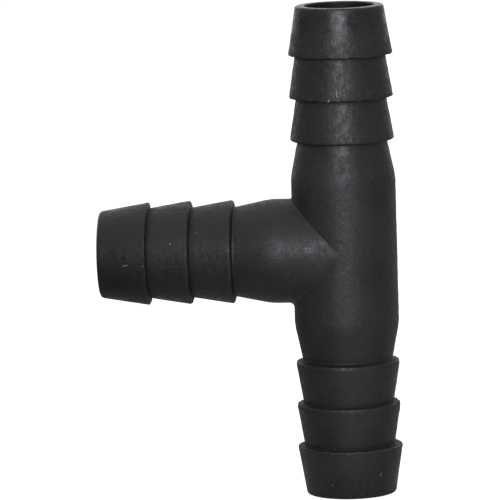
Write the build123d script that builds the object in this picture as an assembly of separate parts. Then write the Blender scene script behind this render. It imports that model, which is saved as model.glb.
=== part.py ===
from build123d import *
import os

os.makedirs("parts", exist_ok=True)

# Barbed tee for hose of 19 mm inside diameter, moulded in one piece.
# Millimetres. The origin is where the three bore axes meet. +Z runs up the
# straight run, the branch points along -X, and -Y is the front.

# ---- bores ----
bore_diameter = 14.0           # the same straight bore through all three legs
nose_wall = 1.75               # wall left at the mouth of a tail
barrel_wall = 3.4              # wall of the plain barrel round the junction

# ---- hose tails ----
hose_inside_diameter = 19.0    # the hose that the barbs are made for
barb_bite = 1.6                # how much a crest stretches that hose, on diameter
barb_depth = 1.3               # crest down to root, on radius
barb_count = 3
barb_pitch = 8.5
nose_length = 9.25             # mouth to the front edge of the first crest
first_land = 0.5               # straight top of the first crest, which is crisp
first_edge_radius = 0.12       # rounding behind the first land
later_land = 0.8               # straight top of each later crest
later_edge_radius = 0.3        # the later crests are blunter behind
shoulder_length = 0.35         # axial length of the steep step behind a crest
root_flat = 0.35               # straight stretch at the foot of a step
mouth_edge_radius = 0.4        # rounding of the outer edge of the mouth
mouth_bore_radius = 0.25       # rounding of the edge of the bore

# ---- barrel ----
barrel_reach = 14.75           # junction centre to where a flare begins
flare_length = 6.8             # barrel diameter down to root diameter
flare_blend_radius = 4.0       # rounding between flare and barrel

# ---- round witness mark on the front of the junction ----
mark_diameter = 7.0
mark_depth = 0.08
mark_toward_branch = 1.0
mark_above_centre = 0.4

# ---- sizes that follow ----
bore_radius = bore_diameter / 2
crest_radius = (hose_inside_diameter + barb_bite) / 2
root_radius = crest_radius - barb_depth
nose_radius = bore_radius + nose_wall
barrel_radius = bore_radius + barrel_wall
barbs_length = first_land + (barb_count - 1) * barb_pitch + shoulder_length
tail_length = nose_length + barbs_length
tail_start = barrel_reach + flare_length + root_flat
leg_length = tail_start + tail_length

# Directions in which the three legs leave the junction.
UPPER = (0, 0, 1)
LOWER = (0, 0, -1)
BRANCH = (-1, 0, 0)


def along(direction):
    """Plane through the junction centre whose normal is one leg's axis."""
    return Plane(origin=(0, 0, 0), x_dir=(0, 1, 0), z_dir=direction)


def turned(points):
    """Solid of revolution about +Z from (radius, distance along Z) points."""
    section = make_face(Polyline([(radius, 0, distance) for radius, distance in points], close=True))
    return revolve(section, Axis.Z)


def near(edges, radius, distance):
    """The round edges of the given radius that lie at a distance along +Z."""
    found = []
    for edge in edges.filter_by(GeomType.CIRCLE):
        here = edge.arc_center.Z
        if abs(edge.radius - radius) < 1e-4 and abs(here - distance) < 1e-4:
            found.append(edge)
    return found


def hose_tail(direction):
    """Tapered nose and barbs, each a cone, a narrow land and a steep step."""
    points = [(bore_radius, tail_start), (root_radius, tail_start)]
    backs = []
    for barb in reversed(range(barb_count)):
        back = leg_length - nose_length - first_land - barb * barb_pitch
        land = later_land if barb else first_land
        foot = back - shoulder_length
        if barb < barb_count - 1:
            points.append((root_radius, foot - root_flat))
            points.append((root_radius, foot))
        points.append((crest_radius, back))
        points.append((crest_radius, back + land))
        backs.append((back, later_edge_radius if barb else first_edge_radius))
    points.append((nose_radius, leg_length))
    points.append((bore_radius, leg_length))
    tail = turned(points)
    for back, edge_radius in backs:
        tail = fillet(near(tail.edges(), crest_radius, back), edge_radius)
    tail = fillet(near(tail.edges(), nose_radius, leg_length), mouth_edge_radius)
    tail = fillet(near(tail.edges(), bore_radius, leg_length), mouth_bore_radius)
    return along(direction).location * tail


def barrel_leg(direction, outside_radius, end_radius):
    """Solid barrel of one leg, from the junction centre out to the start of its tail."""
    points = [
        (0, 0),
        (outside_radius, 0),
        (outside_radius, barrel_reach),
        (end_radius, barrel_reach + flare_length),
        (end_radius, tail_start),
        (0, tail_start),
    ]
    leg = turned(points)
    leg = fillet(near(leg.edges(), outside_radius, barrel_reach), flare_blend_radius)
    return along(direction).location * leg


def branch_side():
    """Wedge between the two 45 degree mitre planes, which the branch fills."""
    reach = 2 * tail_start
    corners = [(0, 0, 0), (-reach, 0, reach), (-reach, 0, -reach)]
    return extrude(make_face(Polyline(corners, close=True)), amount=reach, both=True)


def tee_shape(outside_radius, end_radius):
    """Solid tee of equal run and branch that meet in a mitred crease."""
    run = barrel_leg(UPPER, outside_radius, end_radius)
    run += barrel_leg(LOWER, outside_radius, end_radius)
    branch = barrel_leg(BRANCH, outside_radius, end_radius)
    wedge = branch_side()
    return (run - wedge) + (branch & wedge)


def tee_bores():
    """The run bore and the branch bore, which meet in the same mitre planes."""
    run = Cylinder(bore_radius, 2 * tail_start)
    branch = along(BRANCH).location * Cylinder(
        bore_radius, tail_start, align=(Align.CENTER, Align.CENTER, Align.MIN)
    )
    wedge = branch_side()
    return (run - wedge) + (branch & wedge)


def witness_mark():
    """Shallow round recess in the front that follows the curve of the barrels."""
    front = Plane(
        origin=(-mark_toward_branch, 0, mark_above_centre),
        x_dir=(1, 0, 0),
        z_dir=(0, -1, 0),
    )
    pin = front.location * Cylinder(
        mark_diameter / 2, 2 * barrel_radius, align=(Align.CENTER, Align.CENTER, Align.MIN)
    )
    return pin - tee_shape(barrel_radius - mark_depth, root_radius - mark_depth)


def tee_body():
    """Barrels, flares and the crossing bores."""
    return tee_shape(barrel_radius, root_radius) - tee_bores() - witness_mark()


def save(shape, node):
    """Write one sub-part, labelled with its node name."""
    shape.label = node
    export_step(shape, "parts/" + node + ".step")


save(tee_body(), "tee_body")
save(hose_tail(UPPER), "upper_hose_tail")
save(hose_tail(LOWER), "lower_hose_tail")
save(hose_tail(BRANCH), "branch_hose_tail")
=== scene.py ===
import math

import bmesh
import bpy
import numpy as np
from mathutils import Matrix, Vector, noise


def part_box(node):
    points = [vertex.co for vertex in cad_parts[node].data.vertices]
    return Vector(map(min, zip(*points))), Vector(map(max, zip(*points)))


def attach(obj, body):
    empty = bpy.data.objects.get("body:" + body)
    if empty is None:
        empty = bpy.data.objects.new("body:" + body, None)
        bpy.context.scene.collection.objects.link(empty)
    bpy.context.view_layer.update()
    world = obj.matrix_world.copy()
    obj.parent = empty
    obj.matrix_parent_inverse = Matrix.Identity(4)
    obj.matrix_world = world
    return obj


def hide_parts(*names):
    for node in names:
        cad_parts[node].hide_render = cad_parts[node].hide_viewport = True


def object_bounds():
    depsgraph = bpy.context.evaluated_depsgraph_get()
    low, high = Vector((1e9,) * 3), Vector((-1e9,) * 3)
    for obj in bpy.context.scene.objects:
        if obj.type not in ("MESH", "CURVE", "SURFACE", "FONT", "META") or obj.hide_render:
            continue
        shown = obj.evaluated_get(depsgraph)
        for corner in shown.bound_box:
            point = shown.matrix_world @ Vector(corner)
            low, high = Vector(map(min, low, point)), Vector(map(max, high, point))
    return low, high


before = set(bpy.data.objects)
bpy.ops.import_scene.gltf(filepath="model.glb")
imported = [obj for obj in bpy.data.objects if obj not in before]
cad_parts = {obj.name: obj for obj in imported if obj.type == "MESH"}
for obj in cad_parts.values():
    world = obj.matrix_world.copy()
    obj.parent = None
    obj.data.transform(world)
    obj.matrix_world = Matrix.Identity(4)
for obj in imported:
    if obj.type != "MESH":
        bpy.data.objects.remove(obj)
cad_low, cad_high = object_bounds()

# ---------------------------------------------------------------------------
# Hose tails: three, each a tapered nose and barbs with a rounded crest and a square
# shoulder. They are black polypropylene, moulded in one shot with the body. The halves of
# the mould meet in the plane of the three axes and leave a fine line of flash there.
# ---------------------------------------------------------------------------
MM = 0.001
UP, DOWN, OUT = (0, 0, 1), (0, 0, -1), (-1, 0, 0)

# Sizes in mm, along a leg from where the three axes meet.
tail_low, tail_high = (np.array(corner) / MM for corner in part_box("upper_hose_tail"))
tail_start, leg_length = tail_low[2], tail_high[2]
crest_radius = tail_high[0]
root_radius = 9.0
nose_radius = 8.75
bore_radius = 7.0
barb_count = 3
barb_pitch = 8.5
nose_length = 9.25
nose_land = 0.5
first_shoulder = leg_length - nose_length - nose_land


def rounded(corners, spacing=0.5, pieces=6):
    """A section line through (radius, distance, rounding) corners, with arcs at the rounded ones."""
    line = []
    last = len(corners) - 1
    for i, (radius, distance, rounding) in enumerate(corners):
        here = np.array((radius, distance), float)
        if i in (0, last) or rounding == 0:
            stretch = [here]
        else:
            back = np.array(corners[i - 1][:2], float) - here
            ahead = np.array(corners[i + 1][:2], float) - here
            back, ahead = back / np.linalg.norm(back), ahead / np.linalg.norm(ahead)
            half = math.acos(np.clip(back @ ahead, -1, 1)) / 2
            middle = here + (back + ahead) / np.linalg.norm(back + ahead) * rounding / math.sin(half)
            first = here + back * rounding / math.tan(half) - middle
            final = here + ahead * rounding / math.tan(half) - middle
            sweep = math.pi - 2 * half
            stretch = []
            for k in range(pieces + 1):
                a, b = math.sin((1 - k / pieces) * sweep), math.sin(k / pieces * sweep)
                stretch.append(middle + (first * a + final * b) / math.sin(sweep))
        if line:
            start = line[-1]
            run = np.linalg.norm(stretch[0] - start)
            parts = int(run / spacing) + 1
            line.extend(start + (stretch[0] - start) * (k / parts) for k in range(1, parts))
        line.extend(stretch)
    return np.array(line)


def tail_section(step_length, mouth_edge, crest_edge, crown):
    """Section line of a tail: from its root along the barbs to the mouth, and back down the bore."""
    corners = [(root_radius, tail_start, 0)]
    for barb in reversed(range(barb_count)):
        shoulder = first_shoulder - barb * barb_pitch
        if barb < barb_count - 1:
            corners.append((root_radius, shoulder - step_length, 0.1))
        if barb:
            land = 0.1 + 0.75 * crest_edge
            corners.append((crest_radius - crown, shoulder, crest_edge))
            corners.append((crest_radius, shoulder + land + crown, 2.0))
        else:
            corners.append((crest_radius, shoulder, 0.2))
            corners.append((crest_radius, shoulder + 0.3, 0.8))
    corners.append((nose_radius, leg_length, mouth_edge))
    corners.append((bore_radius, leg_length, 0.25))
    corners.append((bore_radius, tail_start, 0))
    return rounded(corners)


def turns(*stretches):
    """Angles round a leg in radians, from the flash at 0; each stretch of the first quarter
    is (from, to, spacing) in degrees, and the other quarters mirror it."""
    at_flash = [0.0, 0.35, 0.8, 1.4, 2.3]
    quarter = np.concatenate([at_flash] + [np.arange(*stretch) for stretch in stretches])
    return np.radians(
        np.concatenate(
            [quarter, [90.0], 180.0 - quarter[::-1], 180.0 + quarter[1:], [270.0], 360.0 - quarter[:0:-1]]
        )
    )


def surface(axis, radius, distance, angles):
    """Points of a leg's surface, rows by angles; radius and distance hold one column for all
    angles or one for each."""
    side = np.array((0.0, 0.0, 1.0)) if axis == OUT else np.array((1.0, 0.0, 0.0))
    front = np.array((0.0, -1.0, 0.0))
    spokes = np.cos(angles)[:, None] * side + np.sin(angles)[:, None] * front
    return distance[..., None] * np.array(axis, float) + radius[..., None] * spokes[None, :, :]


def ramp(value, start, end):
    """0 up to start and 1 from end on, straight between; start may be the larger of the two."""
    return np.clip((value - start) / (end - start), 0, 1)


def soft_noise(points, size, seed):
    """Smooth noise in -1..1 at each point in mm; size is the width of a lump."""
    shift = Vector((seed * 7.3, seed * 3.1, seed * 5.7))
    values = [noise.noise(Vector(point) / size + shift) for point in points.reshape(-1, 3)]
    return np.array(values).reshape(points.shape[:-1])


def flash(angles, distance, radius):
    """Height of the flash: a ridge a tenth of a millimetre wide that comes and goes along the leg."""
    half_width, height, unevenness = 0.13, 0.035, 0.05
    off = np.minimum(np.abs(np.sin(angles)), 1.0)[None, :] * radius[:, None]
    side = np.where(np.cos(angles) > 0, 1.0, -1.0)
    bits = np.array([[noise.noise(Vector((d * 0.9, s * 4.0, 1.7))) for s in side] for d in distance])
    return np.exp(-((off / half_width) ** 2)) * np.clip(height + unevenness * bits, 0.008, 0.09)


def sheet(points, rub_and_painted_glint=0.0, polish_and_painted_shade=0.0, paleness_and_painted_light=0.0, bore=False, wraps=True):
    """A grid of points and its traits: the polish trait is burnished above 0, rougher below it,
    and from -0.6 down it darkens the black as painted shade; the paleness trait makes the black
    paler above 0 and deeper below it, in part as painted light and shade; the rubbing trait
    marks worn edges, paler, which also paints a glint on them."""
    traits = [np.broadcast_to(trait, points.shape[:2]) for trait in (rub_and_painted_glint, polish_and_painted_shade, paleness_and_painted_light)]
    return points, traits, bore, wraps


def end_ring(axis, angles):
    """The flat ring where a tail and the body are one solid piece inside."""
    radius = np.array([[bore_radius], [root_radius]])
    return sheet(surface(axis, radius, np.full((2, 1), tail_start), angles))


def make_piece(name, sheets, node, outside):
    """One closed mesh from sheets, in place of a node of the frame."""
    mesh = bmesh.new()
    layers = [mesh.verts.layers.float.new(trait) for trait in ("rub_and_painted_glint", "polish_and_painted_shade", "paleness_and_painted_light")]
    for points, traits, bore, wraps in sheets:
        rows, columns = points.shape[:2]
        grid = [[mesh.verts.new(points[i, j] * MM) for j in range(columns)] for i in range(rows)]
        for layer, trait in zip(layers, traits):
            for i in range(rows):
                for j in range(columns):
                    grid[i][j][layer] = trait[i, j]
        for i in range(rows - 1):
            for j in range(columns if wraps else columns - 1):
                k = (j + 1) % columns
                face = mesh.faces.new((grid[i][j], grid[i][k], grid[i + 1][k], grid[i + 1][j]))
                face.material_index = 1 if bore else 0
                face.smooth = True
    bmesh.ops.remove_doubles(mesh, verts=mesh.verts, dist=1.5e-6)
    bmesh.ops.recalc_face_normals(mesh, faces=mesh.faces)
    data = bpy.data.meshes.new(name)
    mesh.to_mesh(data)
    mesh.free()
    data.set_sharp_from_angle(angle=math.radians(40))
    piece = bpy.data.objects.new(name, data)
    bpy.context.scene.collection.objects.link(piece)
    data.materials.append(outside)
    data.materials.append(bore_black)
    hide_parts(node)
    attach(piece, "root")
    return piece


# The plastic of the tails, the bore and the body. Each effect is a node group that takes a
# place in mm; a material joins the groups by the names of their sockets.
def feed(tree, socket, term):
    """Links a socket to another one, or sets its value."""
    if isinstance(term, bpy.types.NodeSocket):
        tree.links.new(term, socket)
    else:
        socket.default_value = term


def add(tree, kind, inputs=(), **settings):
    """A node with its settings, and inputs that are linked or set."""
    node = tree.nodes.new(kind)
    for setting, value in settings.items():
        setattr(node, setting, value)
    for socket, term in dict(inputs).items():
        feed(tree, node.inputs[socket], term)
    return node


def new_group(name, inputs, outputs):
    """An empty node group, what it is given and what it makes. An input with no number is a
    vector, and the output Color is a colour."""
    group = bpy.data.node_groups.new(name, "ShaderNodeTree")
    for socket, value in inputs.items():
        kind = "NodeSocketVector" if value is None else "NodeSocketFloat"
        entry = group.interface.new_socket(socket, in_out="INPUT", socket_type=kind)
        if value is not None:
            entry.default_value = value
    for socket in outputs:
        kind = "NodeSocketColor" if socket == "Color" else "NodeSocketFloat"
        group.interface.new_socket(socket, in_out="OUTPUT", socket_type=kind)
    return group, group.nodes.new("NodeGroupInput").outputs, group.nodes.new("NodeGroupOutput").inputs


def math_node(tree, operation, *terms):
    """A math node on sockets or numbers. Returns its output."""
    return add(tree, "ShaderNodeMath", enumerate(terms), operation=operation).outputs[0]


def summed(tree, start, *parts):
    """start and each (value, weight) of the parts added up."""
    for value, weight in parts:
        start = math_node(tree, "MULTIPLY_ADD", value, weight, start)
    return start


def vector_node(tree, operation, first, second, output="Vector"):
    """A vector math node on sockets or fixed vectors; SCALE takes a number second."""
    sockets = {0: first, "Scale" if operation == "SCALE" else 1: second}
    return add(tree, "ShaderNodeVectorMath", sockets, operation=operation).outputs[output]


def stepped(tree, value, low, high, to_low=0.0, to_high=1.0):
    """A smooth step from to_low to to_high as value goes from low to high."""
    sockets = {"Value": value, "From Min": low, "From Max": high, "To Min": to_low, "To Max": to_high}
    return add(tree, "ShaderNodeMapRange", sockets, interpolation_type="SMOOTHSTEP").outputs["Result"]


def noise_node(tree, place, scale, detail, roughness=0.5, distortion=0.0):
    """A noise texture with scale lumps per mm; it runs from about 0.25 to 0.75."""
    sockets = {"Vector": place, "Scale": scale, "Detail": detail, "Roughness": roughness}
    sockets["Distortion"] = distortion
    return add(tree, "ShaderNodeTexNoise", sockets).outputs["Fac"]


# Clouding: the carbon black is never mixed in quite evenly.
clouding, given, made = new_group("clouding", {"Place": None}, ("Cloud", "Mottle"))
feed(clouding, made["Cloud"], noise_node(clouding, given["Place"], 0.13, detail=4.0, roughness=0.55))
feed(clouding, made["Mottle"], noise_node(clouding, given["Place"], 1.1, detail=3.0, roughness=0.6))

# Spark-eroded grain: the mould was cut by sparks, which leaves overlapping shallow craters of
# a few tenths of a millimetre.
spark_grain, given, made = new_group(
    "spark_grain", {"Place": None, "Craters per mm": 1.7}, ("Grain", "Peaks")
)
crater = add(
    spark_grain,
    "ShaderNodeTexVoronoi",
    {"Vector": given["Place"], "Scale": given["Craters per mm"], "Smoothness": 0.6, "Randomness": 1.0},
    feature="SMOOTH_F1",
).outputs["Distance"]
between = noise_node(spark_grain, given["Place"], given["Craters per mm"], detail=3.0, roughness=0.62)
grain = summed(spark_grain, 0.0, (crater, 0.45), (between, 0.9))
feed(spark_grain, made["Grain"], grain)
feed(spark_grain, made["Peaks"], stepped(spark_grain, grain, 0.62, 0.95))

# Draw marks: blotches a millimetre or two across, stretched along the leg they are on, where
# the plastic dragged as the mould opened.
draw_marks, given, made = new_group("draw_marks", {"Place": None}, ("Blotch",))
dragged = []
for stretch in ((1.0, 1.0, 0.72), (0.72, 1.0, 1.0)):
    along = add(draw_marks, "ShaderNodeMapping", {"Vector": given["Place"], "Scale": stretch})
    dragged.append(noise_node(draw_marks, along.outputs["Vector"], 0.85, detail=5.0, roughness=0.68))
along_run, along_branch = dragged
spot = add(draw_marks, "ShaderNodeSeparateXYZ", {"Vector": given["Place"]}).outputs
out_on_branch = math_node(
    draw_marks,
    "SUBTRACT",
    math_node(draw_marks, "ABSOLUTE", spot["X"]),
    math_node(draw_marks, "ABSOLUTE", spot["Z"]),
)
drawn = add(
    draw_marks,
    "ShaderNodeMix",
    {"Factor": stepped(draw_marks, out_on_branch, 8.0, 12.0), "A": along_run, "B": along_branch},
    data_type="FLOAT",
).outputs["Result"]
feed(draw_marks, made["Blotch"], stepped(draw_marks, drawn, 0.34, 0.66))

# Hairlines: sparse fine scratches in two directions, from tumbling with other tees in a bag.
hairlines, given, made = new_group("hairlines", {"Place": None}, ("Lines",))
scratched = []
for turn, rarity in (((0.3, 0.9, 0.5), 0.66), ((1.4, -0.4, 1.9), 0.67)):
    turned = add(
        hairlines,
        "ShaderNodeMapping",
        {"Vector": given["Place"], "Rotation": turn, "Scale": (0.22, 4.6, 4.6)},
    ).outputs["Vector"]
    streak = noise_node(hairlines, turned, 1.0, detail=2.0, distortion=0.7)
    scratched.append(stepped(hairlines, streak, rarity, rarity + 0.035))
patch = stepped(hairlines, noise_node(hairlines, given["Place"], 0.16, detail=1.0), 0.5, 0.6)
lines = math_node(hairlines, "MULTIPLY", math_node(hairlines, "MAXIMUM", *scratched), patch)
feed(hairlines, made["Lines"], lines)

# Knocks: short pale scuffs where one tee hit another. Each is a leg, (distance, turn, radius)
# at both ends and a width, in mm and degrees; a turn of 0 is the flash and 90 the front.
knock_list = [
    (UP, (32.9, 91, 10.0), (31.7, 91, 10.2), 0.16),
    (UP, (31.1, 99.6, 10.3), (30.8, 100.6, 10.2), 0.19),
    (UP, (39.2, 114, 9.95), (39.0, 116, 9.6), 0.16),
    (OUT, (43.6, 97, 9.52), (42.6, 96, 9.68), 0.15),
    (OUT, (39.7, 97, 10.17), (39.5, 97, 10.18), 0.14),
    (OUT, (34.2, 72, 9.8), (34.0, 72, 9.82), 0.165),
    (OUT, (29.5, 58, 9.1), (28.6, 58, 9.3), 0.12),
    (DOWN, (44.6, 49, 9.67), (44.0, 48, 9.77), 0.125),
    (DOWN, (46.1, 110, 9.32), (45.9, 110, 9.35), 0.12),
    (OUT, (7.2, 80, 10.4), (7.0, 80, 10.4), 0.15),
    (OUT, (2.4, 82, 10.3), (2.2, 82, 10.3), 0.15),
    (UP, (17.5, 250, 10.0), (18.4, 246, 9.8), 0.14),
    (DOWN, (8.0, 300, 10.4), (8.9, 302, 10.4), 0.16),
    (OUT, (24.0, 275, 9.4), (24.9, 281, 9.6), 0.15),
    (DOWN, (33.0, 215, 9.9), (33.8, 214, 9.8), 0.14),
    (UP, (41.8, 20, 10.0), (42.5, 22, 9.9), 0.14),
]
knocks, given, made = new_group("knocks", {"Place": None}, ("Knocks",))
ragged = noise_node(knocks, given["Place"], 7.0, detail=3.0, roughness=0.7)
ragged = math_node(knocks, "MULTIPLY", ragged, 0.16)
scuffed = 0.0
for axis, start, end, width in knock_list:
    first, last = (
        surface(axis, np.full((1, 1), radius), np.full((1, 1), distance), np.radians([turn]))[0, 0]
        for distance, turn, radius in (start, end)
    )
    reach = last - first
    offset = vector_node(knocks, "SUBTRACT", given["Place"], first)
    share = vector_node(knocks, "DOT_PRODUCT", offset, reach / (reach @ reach), "Value")
    share = add(knocks, "ShaderNodeClamp", {"Value": share}).outputs[0]
    nearest = vector_node(knocks, "SCALE", reach, share)
    gap = math_node(knocks, "ADD", vector_node(knocks, "DISTANCE", offset, nearest, "Value"), ragged)
    scuff = stepped(knocks, gap, 0.85 * width, 1.25 * width, 1.0, 0.0)
    scuffed = math_node(knocks, "MAXIMUM", scuff, scuffed)
feed(knocks, made["Knocks"], scuffed)

# Lint: specks of pale dust about a tenth of a millimetre across, in drifts.
lint, given, made = new_group("lint", {"Place": None}, ("Lint",))
speck = add(
    lint,
    "ShaderNodeTexVoronoi",
    {"Vector": given["Place"], "Scale": 0.9, "Randomness": 1.0},
    feature="F1",
).outputs["Distance"]
drift = stepped(lint, noise_node(lint, given["Place"], 0.45, detail=1.0), 0.46, 0.54)
feed(lint, made["Lint"], math_node(lint, "MULTIPLY", stepped(lint, speck, 0.05, 0.09, 1.0, 0.0), drift))

# Pigment: carbon black, paler where it is clouded, scratched or dusty with lint, and pale in
# knocks. It also carries painted light: painted shade deepens it at the feet of the shoulders
# and in the crease, worn edges are paler and that also paints their glint, and the paleness
# trait makes it paler above 0 and deeper below, painting light and shade on the noses and
# barbs and making the body paler toward the mitre.
marks = ("Cloud", "Mottle", "Polish_and_painted_shade", "Rub_and_painted_glint", "Paleness_and_painted_light", "Lines", "Lint", "Knocks")
pigment, given, made = new_group("pigment", dict.fromkeys(marks, 0.0), ("Color",))
clouded = summed(pigment, 0.0, (given["Cloud"], 0.7), (given["Mottle"], 0.3))
black = add(pigment, "ShaderNodeValToRGB", {"Fac": clouded})
deep, pale = black.color_ramp.elements
deep.position, deep.color = 0.36, (0.0085, 0.0087, 0.0094, 1.0)
pale.position, pale.color = 0.66, (0.0165, 0.0168, 0.0182, 1.0)
colour = black.outputs["Color"]
for share, tint in (
    # Painted shade: deep black at the feet of the shoulders and in the crease.
    (stepped(pigment, given["Polish_and_painted_shade"], -2.6, -0.6, 0.75, 0.0), (0.0035, 0.0035, 0.0038, 1.0)),
    # Worn edges, paler; the paleness also paints their glint.
    (math_node(pigment, "MULTIPLY", given["Rub_and_painted_glint"], 0.35), (0.04, 0.04, 0.042, 1.0)),
    (math_node(pigment, "MULTIPLY", given["Lines"], 0.15), (0.07, 0.07, 0.072, 1.0)),
    (math_node(pigment, "MULTIPLY", given["Lint"], 0.55), (0.16, 0.16, 0.155, 1.0)),
    (math_node(pigment, "MULTIPLY", given["Knocks"], 0.85), (0.34, 0.34, 0.335, 1.0)),
):
    mix = add(pigment, "ShaderNodeMix", data_type="RGBA")
    for socket, term in (("Factor", share), ("A", colour), ("B", tint)):
        feed(pigment, mix.inputs[socket], term)
    colour = mix.outputs["Result"]
# Paler above 0 and deeper below: painted light and shade on the noses and barbs, and a body paler toward
# the mitre.
paler = summed(pigment, 1.0, (given["Paleness_and_painted_light"], 0.6))
feed(pigment, made["Color"], vector_node(pigment, "SCALE", colour, paler))

# Satin: duller in the clouds, on the peaks of the grain and in knocks, glossier where the
# plastic has polish or its edges are worn, and duller where the polish trait is below 0.
marks = ("Cloud", "Blotch", "Peaks", "Polish_and_painted_shade", "Rub_and_painted_glint", "Knocks")
own = {"Plain roughness": 0.4, "Cloud swing": 0.16, "Blotch swing": 0.16}
satin, given, made = new_group("satin", {**own, **dict.fromkeys(marks, 0.0)}, ("Roughness",))
rough = summed(
    satin,
    given["Plain roughness"],
    (math_node(satin, "SUBTRACT", given["Cloud"], 0.5), given["Cloud swing"]),
    (math_node(satin, "SUBTRACT", given["Blotch"], 0.5), given["Blotch swing"]),
    (given["Peaks"], 0.10),
    (given["Polish_and_painted_shade"], -0.09),
    (given["Rub_and_painted_glint"], -0.06),
    (given["Knocks"], 0.2),
)
feed(satin, made["Roughness"], rough)

# Relief in mm: the grain, faint where the plastic has polish, a slow orange peel, and the
# hairlines and knocks cut into it.
marks = ("Grain", "Mottle", "Blotch", "Polish_and_painted_shade", "Lines", "Knocks")
own = {"Grain height": 0.04}
relief, given, made = new_group("relief", {**own, **dict.fromkeys(marks, 0.0)}, ("Height",))
kept = stepped(relief, given["Polish_and_painted_shade"], 0.0, 2.0, 1.0, 0.12)
kept = math_node(relief, "MULTIPLY", summed(relief, 0.45, (given["Blotch"], 1.1)), kept)
bumps = math_node(relief, "MULTIPLY", given["Grain"], kept)
bumps = summed(relief, bumps, (given["Mottle"], 0.8))
height = math_node(relief, "MULTIPLY", bumps, given["Grain height"])
feed(relief, made["Height"], summed(relief, height, (given["Lines"], -0.003), (given["Knocks"], -0.03)))


def black_plastic(name, grain_height, roughness, cloud_swing, blotch_swing, gloss):
    """Black polypropylene. The swings are how far clouds and draw marks move the roughness."""
    material = bpy.data.materials.new(name)
    material.use_nodes = True
    tree = material.node_tree
    known = {
        "Place": vector_node(tree, "SCALE", add(tree, "ShaderNodeTexCoord").outputs["Object"], 1 / MM),
        "Grain height": grain_height,
        "Plain roughness": roughness,
        "Cloud swing": cloud_swing,
        "Blotch swing": blotch_swing,
    }
    for trait in ("Rub_and_painted_glint", "Polish_and_painted_shade", "Paleness_and_painted_light"):
        known[trait] = add(tree, "ShaderNodeAttribute", attribute_name=trait.lower()).outputs["Fac"]
    for effect in (clouding, spark_grain, draw_marks, hairlines, knocks, lint, pigment, satin, relief):
        placed = add(tree, "ShaderNodeGroup", node_tree=effect)
        for socket in placed.inputs:
            if socket.name in known:
                feed(tree, socket, known[socket.name])
        known.update({socket.name: socket for socket in placed.outputs})
    bump = add(tree, "ShaderNodeBump", {"Height": known["Height"], "Strength": 1.0, "Distance": MM})
    shader = tree.nodes["Principled BSDF"]
    feed(tree, shader.inputs["Base Color"], known["Color"])
    feed(tree, shader.inputs["Roughness"], known["Roughness"])
    feed(tree, shader.inputs["Normal"], bump.outputs["Normal"])
    shader.inputs["IOR"].default_value = 1.49
    shader.inputs["Specular IOR Level"].default_value = gloss
    return material


tail_black = black_plastic("tail_black", 0.042, 0.385, 0.16, 0.24, gloss=0.5)
bore_black = black_plastic("bore_black", 0.004, 0.52, 0.10, 0.05, gloss=0.32)


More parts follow.
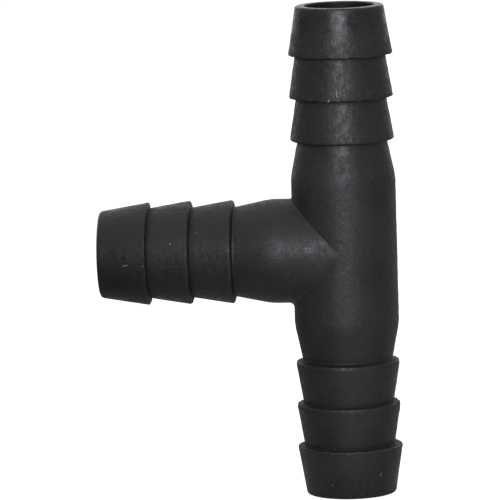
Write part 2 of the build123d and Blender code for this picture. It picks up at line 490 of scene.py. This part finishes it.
def hose_tail(
    name, axis, node, seed, growth, lean, step_length, mouth_edge, crest_edge, crown, nibbled, painted_shade_reach,
    barb_painted_light, nose_painted_light,
):
    """One tail. growth widens its nose and lean moves the nose over, crown is how far a crest
    falls to its shoulder, nibbled is how uneven the crests are, and the shade reach is how far
    the painted shade at the foot of a shoulder reaches, all in mm. The last two values make the
    barbs and the nose paler above 0 and deeper below it, as painted light and shade."""
    line = tail_section(step_length, mouth_edge, crest_edge, crown)
    angles = turns((4.7, 89.28, 2.4))
    radius, distance = line[:, :1], line[:, 1:]
    from_mouth = leg_length - distance

    # Shape: moulding waviness, flash, nibbled crests and a nose of its own size.
    smooth_points = surface(axis, radius, distance, angles)
    outer = ramp(radius, bore_radius + 0.6, bore_radius + 1.4)
    held = ramp(distance, tail_start, tail_start + 1.5)
    crest = ramp(radius, crest_radius - 0.35, crest_radius - 0.05)
    nose = ramp(from_mouth, nose_length + 0.7, nose_length + 0.2)
    wave = 0.022 * soft_noise(smooth_points, 7.0, seed)
    wave = wave + nibbled * soft_noise(smooth_points, 0.8, seed + 1) * crest
    ridge = flash(angles, line[:, 1], line[:, 0]) * (1.0 + 1.1 * crest)
    ragged = 5.0 * nibbled * soft_noise(smooth_points, 0.9, seed + 4) * crest * held
    swell = outer * held * (wave + ridge) + nose * (growth * outer + lean * np.cos(angles))
    points = surface(axis, radius + swell, distance + ragged, angles)

    # Wear and painted light: outside edges are worn paler in patches, which also paints their
    # glint; the nose is glossier; the feet of the shoulders get painted shade; the barbs and the
    # nose of a tail are made paler or deeper, as painted light and shade.
    run = np.diff(line, axis=0)
    length = np.linalg.norm(run, axis=1)
    bend = (run[:-1, 0] * run[1:, 1] - run[:-1, 1] * run[1:, 0]) / (length[:-1] * length[1:])
    edges = np.zeros(radius.shape)
    edges[1:-1, 0] = (bend > 0.12) & (line[1:-1, 0] > bore_radius + 0.4)
    # Worn outside edges, paler in patches; the paleness also paints a glint along them.
    rub_and_painted_glint = edges * np.clip(0.55 + 0.9 * soft_noise(points, 1.6, seed + 2), 0.0, 1.0)
    shine = 1.45 * ramp(from_mouth, 7.5, 3.5) * ramp(from_mouth, 0.4, 2.0)
    shine = np.where(from_mouth < 0.1, 1.7, shine)
    # Painted shade at the foot of each shoulder: darkest at the foot, fading up the step to the crest and
    # back along the cone that slopes down into the foot.
    feet = first_shoulder - np.arange(barb_count) * barb_pitch - step_length
    past = distance - feet[None, :]
    painted_foot_shade = np.where(past > 0.0, np.exp(-past / 0.3), np.exp(past / painted_shade_reach)).max(axis=1, keepdims=True)
    polish_and_painted_shade = shine - 3.0 * np.where(radius > bore_radius + 0.6, painted_foot_shade, 0.0)
    on_nose = ramp(from_mouth, nose_length + 0.3, nose_length - 0.3)
    # Painted light and shade: the barbs and the nose of a tail are made paler or deeper.
    paleness_and_painted_light = barb_painted_light * ramp(distance, tail_start, tail_start + 3.0) * (1 - on_nose) + nose_painted_light * on_nose

    inner = int(np.argmax(line[:, 0] <= bore_radius + 1e-6))
    out = slice(None, inner + 1)
    sheets = [
        sheet(points[out], rub_and_painted_glint[out], polish_and_painted_shade[out], paleness_and_painted_light[out]),
        sheet(points[inner:], bore=True),
        end_ring(axis, angles),
    ]
    return make_piece(name, sheets, node, tail_black)


# The lower tail's barbs and nose are paler, as painted light, and the branch's deeper, as painted shade.
hose_tail(
    "upper_tail_moulding", UP, "upper_hose_tail", seed=1, growth=0.0, lean=0.09, step_length=0.25,
    mouth_edge=0.4, crest_edge=0.3, crown=0.0, nibbled=0.06, painted_shade_reach=0.25, barb_painted_light=0.0, nose_painted_light=0.0,
)
hose_tail(
    "lower_tail_moulding", DOWN, "lower_hose_tail", seed=5, growth=0.13, lean=0.10, step_length=0.2,
    mouth_edge=0.6, crest_edge=0.3, crown=0.12, nibbled=0.04, painted_shade_reach=0.6, barb_painted_light=0.1, nose_painted_light=0.7,
)
hose_tail(
    "branch_tail_moulding", OUT, "branch_hose_tail", seed=9, growth=-0.12, lean=-0.12, step_length=0.35,
    mouth_edge=0.8, crest_edge=0.4, crown=0.0, nibbled=0.04, painted_shade_reach=0.6, barb_painted_light=-0.1, nose_painted_light=-0.6,
)

# ---------------------------------------------------------------------------
# Tee body: run and branch barrels of one diameter, moulded in one with the tails, that meet
# in a mitre with a small fillet and flare down to the tails. The front has the round witness
# of an ejector pin, and the back has the trimmed stub of the gate in a shallow dish.
# ---------------------------------------------------------------------------
barrel_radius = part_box("tee_body")[1][1] / MM
barrel_reach = 14.75
flare_length = 6.8
flare_blend = 14.0
upper_fillet, lower_fillet = 0.5, 1.0
witness_radius = 3.5
witness_place = (-1.6, -0.2)
witness_depth = 0.04
gate_dish_radius = 1.9
gate_dish_depth = 0.22
gate_stub_radius = 0.55
gate_stub_height = 0.2
# The body's black is paler toward the mitre.
barrel_paleness = 0.5
# Painted shade in the crease: how deeply the run beside the mitre and the upper fillet are darkened.
mitre_painted_shade, crease_painted_shade = 2.8, 2.4

body_black = black_plastic("body_black", 0.031, 0.403, 0.16, 0.16, gloss=0.48)


def mitre(radius, angles, whole_circle):
    """How far along a leg its surface starts at each angle, where it meets the other legs."""
    start = radius * np.abs(np.cos(angles))
    return start if whole_circle else np.where(np.cos(angles) < 0, start, 0.0)


def leg_rows(fillet, angles, whole_circle):
    """Radii and distances of one leg of the body from the mitre to its tail, rows by angles."""
    flare = rounded(
        [
            (barrel_radius, barrel_reach - 4.0, 0),
            (barrel_radius, barrel_reach, flare_blend),
            (root_radius, barrel_reach + flare_length, 0.6),
            (root_radius, tail_start, 0),
        ],
        spacing=0.6,
        pieces=8,
    )
    flare = flare[flare[:, 1] > barrel_reach - 2.2]
    join = flare[0, 1]
    start = mitre(barrel_radius + fillet, angles, whole_circle)
    steps = np.concatenate([np.arange(0, 4.6, 0.16), np.arange(4.7, join, 0.65), [join]]) / join
    barrel = start[None, :] + (join - start)[None, :] * steps[:, None]
    flare_radii = np.repeat(flare[1:, :1], len(angles), axis=1)
    radii = np.concatenate([np.full(barrel.shape, barrel_radius), flare_radii])
    return radii, np.concatenate([barrel, np.repeat(flare[1:, 1:], len(angles), axis=1)])


def smooth(share):
    """Eases a share between 0 and 1 at both ends."""
    return share * share * (3 - 2 * share)


def dressed(points):
    """The body's outside, slightly wavy, with the witness and the gate; returns the points and
    its rubbing and polish traits: the rim of the witness a little paler, its floor rougher."""
    out = points.copy()
    from_axis = np.maximum(np.linalg.norm(points[..., :2], axis=-1), 1e-6)
    fade = ramp(np.linalg.norm(points, axis=-1), tail_start, tail_start - 4.0)
    wave = 0.02 * soft_noise(points, 7.5, 13) * fade
    out[..., :2] += points[..., :2] / from_axis[..., None] * wave[..., None]
    gap = np.hypot(points[..., 0] - witness_place[0], points[..., 2] - witness_place[1])
    front = points[..., 1] < -barrel_radius * 0.6
    rim = np.exp(-(((gap - witness_radius - 0.15) / 0.25) ** 2))
    floor = smooth(ramp(gap, witness_radius + 0.22, witness_radius - 0.22))
    out[..., 1] += np.where(front, witness_depth * floor - 0.006 * rim, 0.0)
    gap = np.hypot(points[..., 0], points[..., 2])
    back = points[..., 1] > barrel_radius * 0.6
    dish = smooth(ramp(gap, gate_dish_radius + 0.2, gate_dish_radius - 0.2))
    stub = smooth(ramp(gap, gate_stub_radius + 0.1, gate_stub_radius - 0.15))
    torn = 1.0 + 0.5 * soft_noise(points, 0.5, 16)
    out[..., 1] -= np.where(back, gate_dish_depth * dish - gate_stub_height * stub * torn, 0.0)
    return out, np.where(front, rim * 0.15, 0.0), np.where(front, -0.4 * floor, 0.0)


def fillet_rows(angles, side, fillet, parts=6):
    """The fillet in the crease between the branch and one half of the run; side is 1 above it
    and -1 below it."""
    big = barrel_radius + fillet
    rows = []
    for angle in (a for a in angles if math.cos(a) < 1e-9):
        across, depth = abs(math.cos(angle)), -math.sin(angle)
        x, y, z = centre = np.array((-big * across, big * depth, side * big * across))
        share = barrel_radius / big
        to_run = np.array((x * share, y * share, z)) - centre
        to_branch = np.array((x, y * share, z * share)) - centre
        sweep = math.acos(np.clip(to_run @ to_branch / fillet**2, -1, 1))
        arc = []
        for k in range(parts + 1):
            a, b = 1 - k / parts, k / parts
            if sweep >= 1e-4:
                a, b = (math.sin(share * sweep) / math.sin(sweep) for share in (a, b))
            arc.append(centre + to_run * a + to_branch * b)
        rows.append(arc)
    return np.array(rows).transpose(1, 0, 2)


body_turns = turns((4.8, 66.0, 2.5), (67.0, 89.9, 0.8))
sheets = []
for axis, whole_circle in ((UP, False), (DOWN, False), (OUT, True)):
    fillet = upper_fillet if axis == UP else lower_fillet
    if whole_circle:
        fillet = np.where(np.cos(body_turns) > 0, upper_fillet, lower_fillet)
    radii, distance = leg_rows(fillet, body_turns, whole_circle)
    far = np.median(distance, axis=1)
    held = ramp(far, tail_start, tail_start - 1.5)[:, None]
    past_mitre = distance - distance[0]
    clear = ramp(past_mitre, 0.0, 0.8)
    if not whole_circle:
        clear = np.where(np.cos(body_turns) > 0, 1.0, clear)
    radii = radii + flash(body_turns, far, radii[:, 0]) * held * clear
    points, rub_and_painted_glint, polish_and_painted_shade = dressed(surface(axis, radii, distance, body_turns))
    # Painted shade: beside the mitre the upper run is darkened on the side toward the branch.
    if axis == UP:
        toward_branch = np.clip(-4.0 * np.cos(body_turns), 0, 1)
        polish_and_painted_shade = polish_and_painted_shade - mitre_painted_shade * np.exp(-past_mitre / 0.6) * toward_branch
    sheets.append(sheet(points, rub_and_painted_glint, polish_and_painted_shade, barrel_paleness * ramp(distance, 19.0, 13.0)))
    start = mitre(bore_radius, body_turns, whole_circle)
    depth = start[None, :] + (tail_start - start)[None, :] * np.linspace(0, 1, 22)[:, None]
    sheets.append(sheet(surface(axis, np.full(depth.shape, bore_radius), depth, body_turns), bore=True))
    sheets.append(end_ring(axis, body_turns))
# Painted shade: the upper fillet is darkened, most on its run side and none at the branch.
for side, fillet, painted_shade_depth in ((1, upper_fillet, crease_painted_shade), (-1, lower_fillet, 0.0)):
    points, rub_and_painted_glint, polish_and_painted_shade = dressed(fillet_rows(body_turns, side, fillet))
    polish_and_painted_shade = polish_and_painted_shade - painted_shade_depth * np.linspace(1.0, 0.0, len(points))[:, None]
    sheets.append(sheet(points, rub_and_painted_glint, polish_and_painted_shade, barrel_paleness, wraps=False))
make_piece("tee_body_moulding", sheets, "tee_body", body_black)

# ---------------------------------------------------------------------------
# Studio: a white round floor that sweeps up into a wall, even light from all round that is
# a little stronger behind and above, a small soft box just above the lens, and a long lens.
# ---------------------------------------------------------------------------
floor_radius, floor_sweep, wall_height = 2400, 420, 520
floor_height = cad_low.z

mesh = bmesh.new()
floor_corners = [(0.001, 0, 0), (floor_radius, 0, floor_sweep), (floor_radius, wall_height, 0)]
floor_turns = np.linspace(0.0, 2 * math.pi, 96, endpoint=False)
rings = []
for radius, rise in rounded(floor_corners, spacing=200, pieces=12) * MM:
    height = rise + floor_height
    ring = [(radius * math.cos(turn), radius * math.sin(turn), height) for turn in floor_turns]
    rings.append([mesh.verts.new(corner) for corner in ring])
for lower, upper in zip(rings, rings[1:]):
    for k, beside in enumerate(lower[1:] + lower[:1]):
        above = (upper[1:] + upper[:1])[k]
        mesh.faces.new((lower[k], beside, above, upper[k])).smooth = True
bmesh.ops.remove_doubles(mesh, verts=mesh.verts, dist=1e-5)
data = bpy.data.meshes.new("floor")
mesh.to_mesh(data)
mesh.free()
floor = bpy.data.objects.new("floor", data)
bpy.context.scene.collection.objects.link(floor)

# The floor is grey to the light and white to the lens. It glows far behind, and a patch just
# in front glows too, as a painted fill light; to the left, except well in front, it is a
# darker grey, a painted shade.
pale_floor = bpy.data.materials.new("pale_floor")
pale_floor.use_nodes = True
data.materials.append(pale_floor)
tree = pale_floor.node_tree
place = add(tree, "ShaderNodeTexCoord").outputs["Object"]
spot = add(tree, "ShaderNodeSeparateXYZ", {"Vector": place}).outputs
behind = math_node(
    tree,
    "MULTIPLY",
    stepped(tree, spot["Y"], 0.6, 2.25, 0.0, 0.7),
    stepped(tree, spot["X"], 0.5, 1.8, 1.0, 0.0),
)
# A patch of the floor just in front of the tee glows: a painted fill light.
ahead = math_node(tree, "MAXIMUM", math_node(tree, "MULTIPLY", spot["Y"], -1.0), 0.02)
aside = math_node(tree, "DIVIDE", spot["X"], ahead)
front_glow = stepped(tree, aside, -0.6, 0.0)
for limit in (
    stepped(tree, aside, 1.2, 2.6, 1.0, 0.0),
    stepped(tree, spot["Y"], -0.010, -0.032, 0.0, 0.245),
    stepped(tree, spot["Y"], -0.3, -1.0, 1.0, 0.0),
):
    front_glow = math_node(tree, "MULTIPLY", front_glow, limit)
glow = math_node(tree, "ADD", behind, front_glow)
to_lens = add(tree, "ShaderNodeLightPath").outputs["Is Camera Ray"]
lift = add(tree, "ShaderNodeEmission", {"Strength": math_node(tree, "MAXIMUM", glow, to_lens)})
# Painted shade: the floor is a darker grey to the left of the tee, except well in front.
clear_of_painted_shadow = math_node(
    tree, "MAXIMUM", stepped(tree, spot["X"], -0.075, -0.03), stepped(tree, spot["Y"], -0.015, -0.12)
)
grey = summed(tree, 0.21, (clear_of_painted_shadow, 0.21))
shader = tree.nodes["Principled BSDF"]
grey = add(tree, "ShaderNodeCombineColor", {"Red": grey, "Green": grey, "Blue": grey}).outputs["Color"]
feed(tree, shader.inputs["Base Color"], grey)
shader.inputs["Roughness"].default_value = 0.9
shader.inputs["Specular IOR Level"].default_value = 0.1
both = add(tree, "ShaderNodeAddShader", {0: shader.outputs[0], 1: lift.outputs[0]})
feed(tree, tree.nodes["Material Output"].inputs["Surface"], both.outputs[0])

world = bpy.data.worlds.new("soft_room")
bpy.context.scene.world = world
world.use_nodes = True
room = world.node_tree
direction = add(room, "ShaderNodeTexCoord").outputs["Generated"]
toward = add(room, "ShaderNodeSeparateXYZ", {"Vector": direction}).outputs
ceiling = stepped(room, toward["Z"], 0.35, 1.0, 0.0, 0.14)
toward_back = summed(room, toward["Y"], (toward["X"], -0.22))
far_wall = math_node(
    room,
    "MULTIPLY",
    stepped(room, toward_back, 0.4, 1.1, 0.0, 0.38),
    stepped(room, toward["Z"], 0.15, 0.45, 1.0, 0.0),
)
sides = stepped(room, toward["X"], -1.0, 1.0, 0.53, 0.57)
brightness = math_node(room, "ADD", math_node(room, "ADD", ceiling, far_wall), sides)
feed(room, room.nodes["Background"].inputs["Strength"], brightness)
room.nodes["Background"].inputs["Color"].default_value = (0.94, 0.965, 1.0, 1.0)


def in_direction(azimuth, elevation):
    """Unit vector from the object, in degrees round from the front and up from level."""
    a, e = math.radians(azimuth), math.radians(elevation)
    return Vector((math.sin(a) * math.cos(e), -math.cos(a) * math.cos(e), math.sin(e)))


light_azimuth, light_elevation, light_distance = 2.8, 13.5, 0.40
light = bpy.data.lights.new("soft_box", "AREA")
light.shape = "SQUARE"
light.size = 0.20
light.energy = 0.59
light.color = (0.93, 0.955, 1.0)
to_light = in_direction(light_azimuth, light_elevation)
lamp = bpy.data.objects.new("soft_box", light)
lamp.location = to_light * light_distance
lamp.rotation_mode = "QUATERNION"
lamp.rotation_quaternion = (-to_light).to_track_quat("-Z", "Y")
bpy.context.scene.collection.objects.link(lamp)

camera_azimuth, camera_elevation, camera_distance = 4.65, 7.88, 1.0933
camera_roll = math.radians(-1.657)
aim_right, aim_up = -18.93, 0.48
camera_data = bpy.data.cameras.new("camera")
camera_data.sensor_width = 36.0
camera_data.lens = 395.0
camera_data.clip_start, camera_data.clip_end = 0.05, 12.0
camera = bpy.data.objects.new("camera", camera_data)
bpy.context.scene.collection.objects.link(camera)
away = in_direction(camera_azimuth, camera_elevation)
right = in_direction(camera_azimuth + 90.0, 0.0)
up = away.cross(right)
aim = (right * aim_right + up * aim_up) * MM
turned_right = right * math.cos(camera_roll) + up * math.sin(camera_roll)
turned_up = up * math.cos(camera_roll) - right * math.sin(camera_roll)
facing = Matrix((turned_right, turned_up, away)).transposed().to_4x4()
camera.matrix_world = Matrix.Translation(aim + away * camera_distance) @ facing
bpy.context.scene.camera = camera
bpy.context.scene.view_settings.view_transform = "Standard"
